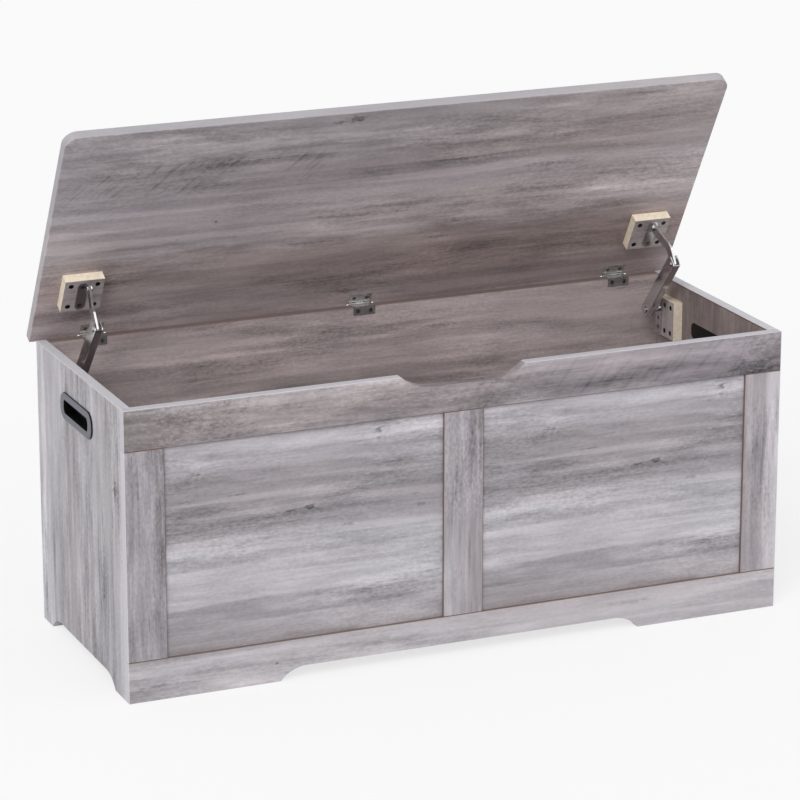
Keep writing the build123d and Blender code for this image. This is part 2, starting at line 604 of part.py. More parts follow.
# Channel arms: a U section from the base pivot to the elbow, open towards the lid
arm_length = math.hypot(elbow_y - base_pivot_y, elbow_z - base_pivot_z)
arm_along = (0, (elbow_y - base_pivot_y) / arm_length, (elbow_z - base_pivot_z) / arm_length)
arm_plane = Plane((channel_x0, base_pivot_y, base_pivot_z), x_dir=arm_along, z_dir=(1, 0, 0))
arm_span = arm_length + 2 * CHANNEL_END
arm_depth = CHANNEL_WEB_SIDE + CHANNEL_OPEN_SIDE
arm_mid = (CHANNEL_WEB_SIDE - CHANNEL_OPEN_SIDE) / 2
arm_outline = Pos(arm_length / 2, arm_mid) * RectangleRounded(arm_span, arm_depth, CHANNEL_END_RADIUS)
arm = extrude(arm_plane * arm_outline, CHANNEL_WIDTH)
trough = Box(arm_span + 2 * PASS, arm_depth, CHANNEL_WIDTH - 2 * CHANNEL_SHEET)
arm -= arm_plane * Pos(arm_length / 2, arm_mid - CHANNEL_SHEET, CHANNEL_WIDTH / 2) * trough
channel_mid_x = channel_x0 + CHANNEL_WIDTH / 2
arm_foot = Plane((channel_mid_x, base_pivot_y, base_pivot_z), x_dir=(-1, 0, 0), z_dir=arm_along)
bent_section = Pos(0, arm_mid) * Rectangle(CHANNEL_WIDTH, arm_depth)
bent_section = fillet(bent_section.vertices().group_by(Axis.Y)[-1], CHANNEL_BEND)
arm &= extrude(arm_foot * Pos(0, 0, -CHANNEL_END) * bent_section, arm_span)
arm -= pivot(base_pivot_y, base_pivot_z, channel_x0 - PASS, channel_x1 + PASS, stud_hole)
arm -= pivot(elbow_y, elbow_z, channel_x0 - PASS, channel_x1 + PASS, hole_radius)
keep("right_stay_channel", arm)
keep("left_stay_channel", mirrored(arm))

# Bent links: a flat end on the lid bracket's ear, a set-over to the knee, and a leg down to the elbow
knee_y = rest_pivot_y - LINK_KNEE[0]
knee_z = rest_pivot_z - LINK_KNEE[1]
knee_reach = math.hypot(*LINK_KNEE)
flat_run = link_radius
lid_link_x1 = lid_link_x0 + LINK_THICKNESS
elbow_link_x1 = elbow_link_x0 + LINK_THICKNESS
bend_plane = Plane(
    (0, rest_pivot_y, rest_pivot_z),
    x_dir=(0, -LINK_KNEE[0] / knee_reach, -LINK_KNEE[1] / knee_reach),
    z_dir=(0, LINK_KNEE[1] / knee_reach, -LINK_KNEE[0] / knee_reach),
)
across = 1 if bend_plane.y_dir.X > 0 else -1
bend_face = make_face(bend_plane * Polyline(
    (0, across * lid_link_x0), (flat_run, across * lid_link_x0),
    (knee_reach - flat_run, across * elbow_link_x0), (knee_reach, across * elbow_link_x0),
    (knee_reach, across * elbow_link_x1), (knee_reach - flat_run, across * elbow_link_x1),
    (flat_run, across * lid_link_x1), (0, across * lid_link_x1), close=True,
))
link = extrude(bend_face, link_radius, both=True)
link += pivot(rest_pivot_y, rest_pivot_z, lid_link_x0, lid_link_x1, link_radius)
leg_face = hull([(knee_y, knee_z, link_radius), (elbow_y, elbow_z, link_radius)])
link += slab(leg_face, elbow_link_x0, elbow_link_x1)
link -= pivot(rest_pivot_y, rest_pivot_z, lid_link_x0 - PASS, lid_link_x1 + PASS, hole_radius)
link -= pivot(elbow_y, elbow_z, elbow_link_x0 - PASS, elbow_link_x1 + PASS, hole_radius)
keep("right_stay_link", link)
keep("left_stay_link", mirrored(link))


def rivet(y, z, x0, x1):
    """Rivet along X with a head outside each end of its grip."""
    body = pivot(y, z, x0 - RIVET_HEAD, x1 + RIVET_HEAD, RIVET_RADIUS)
    body += pivot(y, z, x0 - RIVET_HEAD, x0, RIVET_HEAD_RADIUS)
    return body + pivot(y, z, x1, x1 + RIVET_HEAD, RIVET_HEAD_RADIUS)


lid_rivet = rivet(rest_pivot_y, rest_pivot_z, ear_x0, lid_link_x1 + LINK_FACE_CLEARANCE)
keep("lid_pivot_rivets", lid_rivet, mirrored(lid_rivet))
elbow_rivet = rivet(elbow_y, elbow_z, channel_x0, channel_x1)
keep("right_elbow_rivet", elbow_rivet)
keep("left_elbow_rivet", mirrored(elbow_rivet))


def washer(x0, x1):
    """Friction washer at the elbow, between the link and one wall of the channel."""
    ring_x0 = x0 + WASHER_CLEARANCE
    ring_x1 = x1 - WASHER_CLEARANCE
    disc = pivot(elbow_y, elbow_z, ring_x0, ring_x1, WASHER_RADIUS)
    return disc - pivot(elbow_y, elbow_z, ring_x0 - PASS, ring_x1 + PASS, hole_radius)


inner_washer = washer(channel_x0 + CHANNEL_SHEET, elbow_link_x0)
outer_washer = washer(elbow_link_x1, channel_x1 - CHANNEL_SHEET)
washers = [inner_washer, outer_washer]
keep("right_elbow_washers", *washers)
keep("left_elbow_washers", *[mirrored(piece) for piece in washers])

# Hinges: body leaf over the top edge of the back, lid leaf under the lid, ball-tipped pin
half_leaf = LEAF_WIDTH / 2
half_knuckle = CENTRE_KNUCKLE / 2
outer_knuckle = half_knuckle + KNUCKLE_GAP
notch_y = AXIS_Y - BARREL_RADIUS - HINGE_CLEARANCE
body_leaf = block(-half_leaf, half_leaf, leaf_face_y, AXIS_Y, BODY_HEIGHT, BODY_HEIGHT + LEAF_THICKNESS)
body_leaf += block(
    -half_leaf, half_leaf, leaf_face_y, BACK_INNER, BODY_HEIGHT - LEAF_DROP, BODY_HEIGHT + LEAF_THICKNESS
)
body_leaf -= block(
    -outer_knuckle, outer_knuckle, notch_y, AXIS_Y + PASS,
    BODY_HEIGHT - PASS, BODY_HEIGHT + LEAF_THICKNESS + PASS,
)
body_leaf += pivot(AXIS_Y, AXIS_Z, -half_leaf, -outer_knuckle, BARREL_RADIUS)
body_leaf += pivot(AXIS_Y, AXIS_Z, outer_knuckle, half_leaf, BARREL_RADIUS)
pin_bore = pivot(AXIS_Y, AXIS_Z, -half_leaf - PASS, half_leaf + PASS, PIN_RADIUS + RUNNING_CLEARANCE)
body_leaf -= pin_bore
lid_leaf = block(-half_leaf, half_leaf, AXIS_Y - LEAF_REACH, notch_y, leaf_face_z, LID_UNDER)
lid_leaf += block(-half_knuckle, half_knuckle, notch_y - PASS, AXIS_Y, leaf_face_z, LID_UNDER)
lid_leaf += pivot(AXIS_Y, AXIS_Z, -half_knuckle, half_knuckle, BARREL_RADIUS)
lid_leaf -= pin_bore
pin = pivot(AXIS_Y, AXIS_Z, -half_leaf - PIN_BALL_RADIUS, half_leaf + PIN_BALL_RADIUS, PIN_RADIUS)
for end in (-half_leaf - PIN_BALL_RADIUS, half_leaf + PIN_BALL_RADIUS):
    pin += Pos(end, AXIS_Y, AXIS_Z) * Sphere(PIN_BALL_RADIUS)

for x, name in zip(hinge_places, ("left", "centre", "right")):
    hinge_screws = [seat for seat in body_leaf_seats if abs(seat.origin.X - x) < half_leaf]
    lid_seats = [seat for seat in lid_leaf_seats if abs(seat.origin.X - x) < half_leaf]
    holes = place(screw_hole(SMALL_SCREW, leaf_screw_length), hinge_screws)
    keep(f"{name}_hinge_body_leaf", cut_all(Pos(x, 0, 0) * body_leaf, holes))
    lid_holes = place(screw_hole(SMALL_SCREW, leaf_screw_length), lid_seats)
    keep(f"{name}_hinge_lid_leaf", lifted(cut_all(Pos(x, 0, 0) * lid_leaf, lid_holes)))
keep("hinge_pins", *[Pos(x, 0, 0) * pin for x in hinge_places])
leaf_screw = screw(SMALL_SCREW, leaf_screw_length)
keep("hinge_body_screws", *place(leaf_screw, body_leaf_seats))
keep("hinge_lid_screws", *[lifted(piece) for piece in place(leaf_screw, lid_leaf_seats)])

# Origin on the floor under the middle of the bounding box, then one file for each node
front_y = nodes["front_top_rail"][0].bounding_box().min.Y
rear_y = nodes["lid_board"][0].bounding_box().max.Y
to_origin = Pos(0, -(front_y + rear_y) / 2, 0)
os.makedirs("parts", exist_ok=True)
for name, solids in nodes.items():
    moved = [to_origin * solid for solid in solids]
    shape = moved[0] if len(moved) == 1 else Compound(children=moved)
    export_step(shape, f"parts/{name}.step")
print(len(nodes), "nodes; origin at Y", round((front_y + rear_y) / 2, 3))
print("hinge axis", AXIS_Y, AXIS_Z, "lid pivot", rest_pivot_y, rest_pivot_z)
print("base pivot", base_pivot_y, base_pivot_z, "elbow", elbow_y, elbow_z)
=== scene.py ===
"""Wooden toy box: finishes of its boards, fittings and stays, on a pale floor in soft light."""
import math

import bmesh
import bpy
from mathutils import Matrix, Vector


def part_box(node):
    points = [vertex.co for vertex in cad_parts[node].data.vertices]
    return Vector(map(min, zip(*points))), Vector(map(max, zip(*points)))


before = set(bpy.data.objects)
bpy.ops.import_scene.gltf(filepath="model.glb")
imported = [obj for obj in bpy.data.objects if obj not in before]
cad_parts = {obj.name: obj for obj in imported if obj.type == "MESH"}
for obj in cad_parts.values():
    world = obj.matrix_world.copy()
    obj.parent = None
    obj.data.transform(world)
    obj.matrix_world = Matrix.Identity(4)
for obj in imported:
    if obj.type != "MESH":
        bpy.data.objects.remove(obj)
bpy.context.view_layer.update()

# Side panels: 15 mm laminated boards that carry the chest to the floor, with the printed grain upright.
# They are cut for the handle and the feet. The thin edge band on their top is painted paler than the faces:
# painted light from above on the same print.
MM = 0.001
HALF_BOARD = 7.5 * MM
EDGE_BAND = 0.8 * MM
SIDE_BANDS = ((0.0, (182, 179, 184)), (0.21, (155, 153, 158)), (0.37, (162, 160, 166)),
              (0.57, (155, 152, 157)), (0.77, (161, 159, 164)), (0.86, (172, 170, 175)),
              (1.0, (191, 190, 196)))
SIDE_KNOTS = ((0.084, -0.154, 0.016, 0.013, 0.50), (-0.046, -0.100, 0.050, 0.008, 0.22),
              (0.040, -0.140, 0.030, 0.005, 0.20))
# Pale colour of worn chips and edge bands; on the top edges it is painted light from above.
PALE_EDGE_AND_TOP_LIGHT = (196, 195, 200)
SEAM_BROWN = (98, 78, 66)
# Painted shade: this tint darkens and warms the face inside the chest.
INSIDE_SHADE = (0.66, 0.57, 0.52, 1.0)
WARM_TINT = (1.0, 0.98, 0.965, 1.0)
SWAY = 22 * MM
STREAK_DEPTH = 0.08
PORE_DEPTH = 0.18
BAND_WOBBLE = 0.16
FAR_BLEND = 0.35
SAW_ANGLE = math.radians(48.0)
SAW_SOFT_END = 12 * MM
# Layers of the print: how it is drawn out along and across the grain, its detail, and its strength
PRINT_LAYERS = ((2.6, 20.0, 3.0, 0.80), (8.0, 48.0, 5.0, 1.15), (5.0, 120.0, 5.0, 0.48),
                (26.0, 560.0, 4.0, 0.40), (150.0, 280.0, 3.0, 0.60))


def paint(rgb):
    """Colour written as 0 to 255, as the shader takes it."""
    linear = [(c / 255 / 12.92) if c <= 10 else ((c / 255 + 0.055) / 1.055) ** 2.4 for c in rgb]
    return (*linear, 1.0)


def new_finish(name):
    """Empty material with its surface shader."""
    finish = bpy.data.materials.new(name)
    finish.use_nodes = True
    shader = finish.node_tree.nodes["Principled BSDF"]
    return finish, finish.node_tree, shader


def feed(tree, socket, value):
    """Link a socket, or set its plain value."""
    if isinstance(value, bpy.types.NodeSocket):
        tree.links.new(value, socket)
    else:
        socket.default_value = value


def sums(tree, operation, first, second=0.0, third=None):
    """One step of arithmetic."""
    node = tree.nodes.new("ShaderNodeMath")
    node.operation = operation
    feed(tree, node.inputs[0], first)
    feed(tree, node.inputs[1], second)
    if third is not None:
        feed(tree, node.inputs[2], third)
    return node.outputs[0]


def reckon(tree, operation, first, second):
    """One step of arithmetic on a place or a colour."""
    node = tree.nodes.new("ShaderNodeVectorMath")
    node.operation = operation
    feed(tree, node.inputs[0], first)
    feed(tree, node.inputs[3 if operation == "SCALE" else 1], second)
    return node.outputs[0]


def cloud(tree, point, scale, detail, rough=0.55, seed=0.0):
    """Soft random shade on a stretched place, about 0.5."""
    moved = reckon(tree, "ADD", reckon(tree, "MULTIPLY", point, scale), (seed, seed * 1.7, seed * 0.6))
    node = tree.nodes.new("ShaderNodeTexNoise")
    feed(tree, node.inputs["Vector"], moved)
    node.inputs["Scale"].default_value = 1.0
    node.inputs["Detail"].default_value = detail
    node.inputs["Roughness"].default_value = rough
    return node.outputs[0]


def ease(tree, value, low, high, out_low=0.0, out_high=1.0):
    """Smooth step between two values."""
    node = tree.nodes.new("ShaderNodeMapRange")
    node.interpolation_type = "SMOOTHSTEP"
    feed(tree, node.inputs[0], value)
    for socket, number in zip(list(node.inputs)[1:5], (low, high, out_low, out_high)):
        socket.default_value = number
    return node.outputs[0]


def ramp(tree, value, stops):
    """Colours along a value."""
    node = tree.nodes.new("ShaderNodeValToRGB")
    feed(tree, node.inputs[0], value)
    keys = node.color_ramp.elements
    keys[0].position, keys[0].color = stops[0][0], paint(stops[0][1])
    keys[1].position, keys[1].color = stops[-1][0], paint(stops[-1][1])
    for place, colour in stops[1:-1]:
        key = keys.new(place)
        key.color = paint(colour)
    return node.outputs[0]


def blend_colour(tree, share, first, second, mode="MIX"):
    """Two colours mixed by a share."""
    node = tree.nodes.new("ShaderNodeMix")
    node.data_type = "RGBA"
    node.blend_type = mode
    feed(tree, node.inputs[0], share)
    feed(tree, node.inputs[6], first)
    feed(tree, node.inputs[7], second)
    return node.outputs[2]


def parts_of(tree, point):
    """The three numbers of a place."""
    node = tree.nodes.new("ShaderNodeSeparateXYZ")
    feed(tree, node.inputs[0], point)
    return node.outputs


def board_place(tree, along, across, centre):
    """Place on a board: x along the grain, y across it, z through the board."""
    along, across = Vector(along), Vector(across)
    turn = Matrix((along, across, along.cross(across))).transposed().to_euler()
    spot = tree.nodes.new("ShaderNodeTexCoord")
    node = tree.nodes.new("ShaderNodeMapping")
    node.vector_type = "TEXTURE"
    tree.links.new(spot.outputs["Object"], node.inputs["Vector"])
    node.inputs["Location"].default_value = centre
    node.inputs["Rotation"].default_value = turn
    return node.outputs[0]


def knot_mask(tree, grain, mottle, knot):
    """1 in the heart of a ragged spot, 0 outside it."""
    along_at, across_at, length, width = knot
    from_knot = reckon(tree, "ADD", grain, (-along_at, -across_at, 0.0))
    reach = tree.nodes.new("ShaderNodeVectorMath")
    reach.operation = "LENGTH"
    feed(tree, reach.inputs[0], reckon(tree, "MULTIPLY", from_knot, (1.0 / length, 1.0 / width, 0.0)))
    ragged = sums(tree, "MULTIPLY_ADD", sums(tree, "SUBTRACT", mottle, 0.5), 2.2, reach.outputs[1])
    return ease(tree, ragged, 1.0, 0.1)


def saw_mask(tree, here, zone, seed):
    """Slanting saw strokes in a zone of the board: its start and end along, and its low and high side."""
    start, end, low, high = zone
    tilted = tree.nodes.new("ShaderNodeMapping")
    tilted.inputs["Rotation"].default_value = (0.0, 0.0, -SAW_ANGLE)
    feed(tree, tilted.inputs["Vector"], here)
    stroke = ease(tree, cloud(tree, tilted.outputs[0], (15.0, 130.0, 15.0), 2.0, 0.5, seed), 0.51, 0.69)
    patchy = ease(tree, cloud(tree, here, (14.0, 14.0, 14.0), 2.0, 0.5, seed + 3.0), 0.28, 0.55)
    stroke = sums(tree, "MULTIPLY", stroke, patchy)
    along, across = parts_of(tree, here)[:2]
    for value, edge, sign in ((along, start, 1), (along, end, -1), (across, low, 1), (across, high, -1)):
        soft = sign * SAW_SOFT_END
        stroke = sums(tree, "MULTIPLY", stroke, ease(tree, value, edge - soft, edge + soft))
    return stroke


def laminate(name, along, across, centre, span, bands, far_bands=None, contrast=1.0, knots=(), saw=None,
             saw_depth=0.3, inside=0, rim=None, edge_band=None, edges=(), seed=0.0):
    """Printed weathered-wood laminate: soft bands across the board, streaks, fibres, knots and saw marks.

    A knot is its place along and across the board, its length, its width and its depth; a depth below 0
    makes a pale patch. An edge is its axis, its side, where it starts, its colour and how much it covers.
    The side of the face that looks into the chest is 1 or -1; that face is painted darker and browner as
    shade inside the chest. The rim is the height of its top edge.
    """
    finish, tree, shader = new_finish(name)
    here = board_place(tree, along, across, centre)
    wander = cloud(tree, here, (2.2, 8.0, 8.0), 2.0, seed=seed)
    sway = tree.nodes.new("ShaderNodeCombineXYZ")
    feed(tree, sway.inputs[1], sums(tree, "MULTIPLY_ADD", wander, SWAY, -SWAY / 2))
    grain = reckon(tree, "ADD", here, sway.outputs[0])
    lively = ease(tree, cloud(tree, grain, (3.4, 13.0, 13.0), 2.0, 0.5, seed + 51.0), 0.36, 0.64, 0.60, 1.40)
    streak = cloud(tree, grain, (1.3, 46.0, 46.0), 2.0, 0.5, seed + 59.0)
    deep = STREAK_DEPTH * contrast
    shade = ease(tree, streak, 0.45, 0.55, 1.0 - deep, 1.0 + deep)
    layers = []
    for number, (drawn, fine, detail, strength) in enumerate(PRINT_LAYERS):
        layer = cloud(tree, grain, (drawn, fine, fine), detail, 0.6, seed + 4.0 * number)
        swing = sums(tree, "MULTIPLY", sums(tree, "SUBTRACT", layer, 0.5), contrast * strength)
        shade = sums(tree, "MULTIPLY_ADD", swing, lively, shade)
        layers.append(layer)
    drift, lines, fibres, mottle = layers[1:]
    pore = ease(tree, cloud(tree, grain, (34.0, 620.0, 620.0), 2.0, 0.5, seed + 29.0), 0.58, 0.76)
    shade = sums(tree, "MULTIPLY_ADD", sums(tree, "MULTIPLY", pore, lively), -PORE_DEPTH, shade)
    for *knot, depth in knots:
        shade = sums(tree, "MULTIPLY_ADD", knot_mask(tree, grain, mottle, knot), -depth, shade)
    if saw:
        shade = sums(tree, "MULTIPLY_ADD", saw_mask(tree, here, saw, seed + 5.5), -saw_depth, shade)
    height = sums(tree, "MULTIPLY_ADD", parts_of(tree, grain)[1], 1.0 / span, 0.5)
    height = sums(tree, "MULTIPLY_ADD", sums(tree, "SUBTRACT", drift, 0.5), BAND_WOBBLE, height)
    colour = ramp(tree, height, bands)
    if far_bands:
        far = ease(tree, parts_of(tree, here)[0], -FAR_BLEND, FAR_BLEND)
        colour = blend_colour(tree, far, colour, ramp(tree, height, far_bands))
    warm = ease(tree, cloud(tree, grain, (2.0, 10.0, 10.0), 2.0, 0.5, seed + 31.0), 0.38, 0.64)
    colour = blend_colour(tree, warm, colour, WARM_TINT, "MULTIPLY")
    colour = reckon(tree, "SCALE", colour, shade)
    chips = ease(tree, cloud(tree, here, (90.0, 380.0, 380.0), 2.0, 0.6, seed + 37.0), 0.56, 0.74)
    worn = ease(tree, cloud(tree, here, (5.0, 14.0, 14.0), 2.0, 0.5, seed + 43.0), 0.50, 0.66, 0.0, 0.26)
    colour = blend_colour(tree, sums(tree, "MULTIPLY", chips, worn), colour, paint(PALE_EDGE_AND_TOP_LIGHT))
    spot = tree.nodes.new("ShaderNodeTexCoord")
    where = parts_of(tree, spot.outputs["Object"])
    through = parts_of(tree, here)[2]
    # Painted shade inside the chest: the inner face is darkened and browned. A thin brown line is also drawn
    # just under its top edge.
    if inside:
        inward = sums(tree, "MULTIPLY", through, inside)
        inner_shade = ease(tree, inward, HALF_BOARD - 2.5 * MM, HALF_BOARD - 0.5 * MM)
        colour = blend_colour(tree, inner_shade, colour, INSIDE_SHADE, "MULTIPLY")
        line = sums(tree, "MULTIPLY", inner_shade, ease(tree, where[2], rim - 2.6 * MM, rim - 2.0 * MM))
        colour = blend_colour(tree, line, colour, paint(SEAM_BROWN))
    if edge_band:
        from_middle = sums(tree, "ABSOLUTE", through)
        off_face = ease(tree, from_middle, HALF_BOARD - 1.1 * MM, HALF_BOARD - 0.5 * MM, 0.75, 0.0)
        colour = blend_colour(tree, off_face, colour, paint(edge_band))
    for axis, sign, limit, edge_colour, share in edges:
        beyond = sums(tree, "MULTIPLY", sums(tree, "SUBTRACT", where[axis], limit), sign)
        cover = ease(tree, beyond, -0.4 * MM, 0.3 * MM, 0.0, share)
        colour = blend_colour(tree, cover, colour, paint(edge_colour))
    feed(tree, shader.inputs["Base Color"], colour)
    feed(tree, shader.inputs["Roughness"], ease(tree, lines, 0.3, 0.7, 0.50, 0.62))
    shader.inputs["Specular IOR Level"].default_value = 0.35
    relief = tree.nodes.new("ShaderNodeBump")
    relief.inputs["Strength"].default_value = 0.12
    relief.inputs["Distance"].default_value = 0.0004
    feed(tree, relief.inputs["Height"], sums(tree, "ADD", lines, fibres))
    feed(tree, shader.inputs["Normal"], relief.outputs[0])
    return finish


def finish_nodes(finish, *names):
    """Give CAD pieces their finish."""
    for name in names:
        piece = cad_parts[name]
        piece.data.materials.clear()
        piece.data.materials.append(finish)


for name, seed, inner_side in (("left_side_panel", 2.0, -1), ("right_side_panel", 9.0, 1)):
    low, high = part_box(name)
    finish_nodes(laminate(
        name + "_laminate", (0, 0, 1), (0, 1, 0), (low + high) / 2, high.y - low.y, SIDE_BANDS,
        contrast=1.25, knots=SIDE_KNOTS, inside=inner_side, rim=high.z,
        edges=((2, 1, high.z - EDGE_BAND, PALE_EDGE_AND_TOP_LIGHT, 0.9),), seed=seed), name)

# Back and bottom panels: the same laminated board between the sides, held by cam fittings and dowels.
# The grain runs along the chest. The sawn top edge of the back is painted dark brown: painted shade under the
# lid on the bare edge.
# Painted shade: these bands are browner and darker than the print, for the shade and warm bounce inside the
# chest.
SHADED_BACK_BANDS = ((0.0, (150, 138, 138)), (0.35, (160, 150, 152)), (0.6, (148, 137, 138)),
              (0.85, (161, 149, 150)), (1.0, (154, 142, 142)))
SHADED_BACK_EDGE = (112, 98, 92)
BACK_KNOTS = ((-0.38, 0.03, 0.006, 0.004, 0.3), (0.12, 0.15, 0.03, 0.005, 0.3))
BOTTOM_KNOTS = ((0.2, -0.05, 0.03, 0.006, 0.3),)
low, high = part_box("back_panel")
finish_nodes(laminate(
    "back_laminate", (1, 0, 0), (0, 0, 1), (low + high) / 2, high.z - low.z, SHADED_BACK_BANDS, seed=14.0,
    knots=BACK_KNOTS, edges=((2, 1, high.z - EDGE_BAND, SHADED_BACK_EDGE, 0.9),)), "back_panel")
low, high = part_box("bottom_panel")
finish_nodes(laminate(
    "bottom_laminate", (1, 0, 0), (0, 1, 0), (low + high) / 2, high.y - low.y, SHADED_BACK_BANDS, seed=21.0,
    knots=BOTTOM_KNOTS), "bottom_panel")

# Front frame: two full-width rails with three stiles dowelled between them. The edges that face the
# joints and the fields are cut bare, so a thin brown line shows along every joint.
BARE_EDGE = 0.75 * MM
TOP_RAIL_BANDS = ((0.0, (146, 138, 140)), (0.4, (141, 133, 134)), (0.75, (149, 141, 142)),
                  (1.0, (161, 154, 156)))
TOP_RAIL_FAR = ((0.0, (126, 121, 127)), (0.4, (116, 111, 117)), (0.75, (125, 120, 125)),
                (1.0, (141, 136, 142)))
TOP_RAIL_KNOTS = ((-0.42, 0.006, 0.040, 0.010, 0.10), (-0.36, -0.006, 0.030, 0.006, 0.12),
                  (-0.26, 0.009, 0.030, 0.005, 0.14), (0.38, 0.010, 0.040, 0.006, 0.20),
                  (-0.50, 0.0, 0.20, 0.12, 0.28), (0.26, 0.0, 0.17, 0.12, -0.24),
                  (0.50, 0.0, 0.10, 0.10, 0.26))
TOP_RAIL_SAW_ZONE = (0.02, 0.50, -0.04, 0.04)
BOTTOM_RAIL_BANDS = ((0.0, (167, 164, 169)), (0.5, (171, 168, 173)), (0.8, (168, 164, 169)),
                     (1.0, (160, 155, 158)))
BOTTOM_RAIL_KNOTS = ((-0.28, -0.0025, 0.004, 0.004, 0.5), (-0.45, -0.012, 0.050, 0.003, 0.18),
                     (0.26, 0.008, 0.040, 0.003, 0.15))
low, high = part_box("front_top_rail")
# The pale top edge of the rail is painted light from above.
finish_nodes(laminate(
    "top_rail_laminate", (1, 0, 0), (0, 0, 1), (low + high) / 2, high.z - low.z, TOP_RAIL_BANDS, TOP_RAIL_FAR,
    contrast=1.25, knots=TOP_RAIL_KNOTS, saw=TOP_RAIL_SAW_ZONE, saw_depth=0.20, seed=33.0,
    edges=((2, -1, low.z + BARE_EDGE, SEAM_BROWN, 0.85), (2, 1, high.z - EDGE_BAND, PALE_EDGE_AND_TOP_LIGHT, 0.8),
           (0, -1, low.x + EDGE_BAND, PALE_EDGE_AND_TOP_LIGHT, 0.8), (0, 1, high.x - EDGE_BAND, PALE_EDGE_AND_TOP_LIGHT, 0.8))),
    "front_top_rail")
low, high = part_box("front_bottom_rail")
finish_nodes(laminate(
    "bottom_rail_laminate", (1, 0, 0), (0, 0, 1), (low + high) / 2, high.z - low.z, BOTTOM_RAIL_BANDS,
    contrast=0.75, knots=BOTTOM_RAIL_KNOTS, seed=38.0,
    edges=((2, 1, high.z - BARE_EDGE, SEAM_BROWN, 0.85), (0, -1, low.x + EDGE_BAND, PALE_EDGE_AND_TOP_LIGHT, 0.8),
           (0, 1, high.x - EDGE_BAND, PALE_EDGE_AND_TOP_LIGHT, 0.8))), "front_bottom_rail")
LEFT_STILE = ((0.0, (144, 140, 145)), (0.45, (134, 130, 135)), (0.7, (139, 135, 140)),
              (1.0, (156, 151, 156)))
MID_STILE = ((0.0, (138, 132, 136)), (0.5, (141, 137, 143)), (0.75, (149, 146, 151)),
             (1.0, (158, 155, 159)))
RIGHT_STILE = ((0.0, (174, 170, 175)), (0.25, (166, 161, 166)), (0.6, (149, 143, 148)),
               (1.0, (141, 136, 140)))
STILE_KNOTS = ((0.05, 0.012, 0.060, 0.002, 0.20), (-0.06, -0.010, 0.050, 0.002, 0.20))
MID_PATCHES = ((0.07, 0.0, 0.09, 0.10, 0.12), (-0.09, 0.0, 0.10, 0.10, -0.28))
RIGHT_PATCHES = ((0.09, 0.0, 0.11, 0.10, -0.20),)
CHEST_END = 0.45
STILES = (("front_left_stile", LEFT_STILE, ()), ("front_centre_stile", MID_STILE, MID_PATCHES),
          ("front_right_stile", RIGHT_STILE, RIGHT_PATCHES))
for seed, (name, stile_bands, patches) in enumerate(STILES, 44):
    low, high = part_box(name)
    ends = [(2, -1, low.z + BARE_EDGE, SEAM_BROWN, 0.85), (2, 1, high.z - BARE_EDGE, SEAM_BROWN, 0.85)]
    ends.append((0, -1, low.x + BARE_EDGE, PALE_EDGE_AND_TOP_LIGHT if low.x < -CHEST_END else SEAM_BROWN, 0.85))
    ends.append((0, 1, high.x - BARE_EDGE, PALE_EDGE_AND_TOP_LIGHT if high.x > CHEST_END else SEAM_BROWN, 0.85))
    finish_nodes(laminate(
        name + "_laminate", (0, 0, 1), (-1, 0, 0), (low + high) / 2, high.x - low.x, stile_bands,
        contrast=1.25, knots=STILE_KNOTS + patches, edges=ends, seed=float(seed)), name)

# Field panels: thin sheets held in grooves of the rails and stiles. Both are cut from the same print, a
# little apart, which has a grey band above the middle, a pale band below it and a darker foot.
FIELD_BANDS = ((0.0, (134, 128, 131)), (0.07, (138, 134, 138)), (0.15, (144, 141, 146)),
               (0.23, (167, 165, 171)), (0.31, (171, 169, 175)), (0.38, (164, 162, 168)),
               (0.46, (169, 167, 173)), (0.53, (160, 156, 161)), (0.59, (138, 134, 139)),
               (0.70, (144, 140, 145)), (0.80, (147, 143, 148)), (0.87, (149, 146, 152)),
               (0.94, (165, 162, 169)), (1.0, (168, 166, 172)))
FIELD_KNOTS = ((0.109, 0.136, 0.009, 0.005, 0.50), (0.106, 0.126, 0.010, 0.003, 0.40),
               (0.007, 0.0355, 0.012, 0.005, 0.50), (-0.025, 0.033, 0.022, 0.003, 0.32),
               (0.063, 0.0035, 0.014, 0.004, 0.26), (-0.093, 0.0685, 0.018, 0.0014, 0.42),
               (0.165, 0.0355, 0.010, 0.003, 0.32), (0.172, 0.020, 0.014, 0.003, 0.26),
               (-0.160, 0.104, 0.012, 0.004, 0.28))
PRINT_SHIFT = 60 * MM
for name, shift in (("front_left_field", 0.0), ("front_right_field", PRINT_SHIFT)):
    low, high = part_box(name)
    print_centre = (low + high) / 2 + Vector((shift, 0.0, 0.0))
    finish_nodes(laminate(
        name + "_laminate", (1, 0, 0), (0, 0, 1), print_centre, high.z - low.z, FIELD_BANDS,
        contrast=1.12, knots=FIELD_KNOTS, seed=63.0), name)

# Joinery: beech dowels glued across the joints, and cast cam locks that pull on steel bolts. Most of it
# is out of sight, and only the faces of the cam locks show on the boards.
BEECH = ((178, 146, 104), (206, 178, 136))
CAST_ZINC = ((128, 130, 134), (176, 178, 182))


def speckled(name, dark, light, rough, metallic=0.0, grain=900.0):
    """Plain finish with a fine uneven shade: plastic, plated steel, cast zinc or turned wood."""
    finish, tree, shader = new_finish(name)
    spot = tree.nodes.new("ShaderNodeTexCoord")
    shade = cloud(tree, spot.outputs["Object"], (grain, grain, grain), 3.0, 0.6)
    colour = ramp(tree, ease(tree, shade, 0.3, 0.7), ((0.0, dark), (1.0, light)))
    feed(tree, shader.inputs["Base Color"], colour)
    feed(tree, shader.inputs["Roughness"], ease(tree, shade, 0.3, 0.7, rough * 0.8, rough * 1.2))
    shader.inputs["Metallic"].default_value = metallic
    return finish


finish_nodes(speckled("beech_dowel", *BEECH, 0.65, grain=300.0), "frame_dowels", "case_dowels")
finish_nodes(speckled("cast_zinc", *CAST_ZINC, 0.38, 1.0), "cam_locks", "cam_bolts")
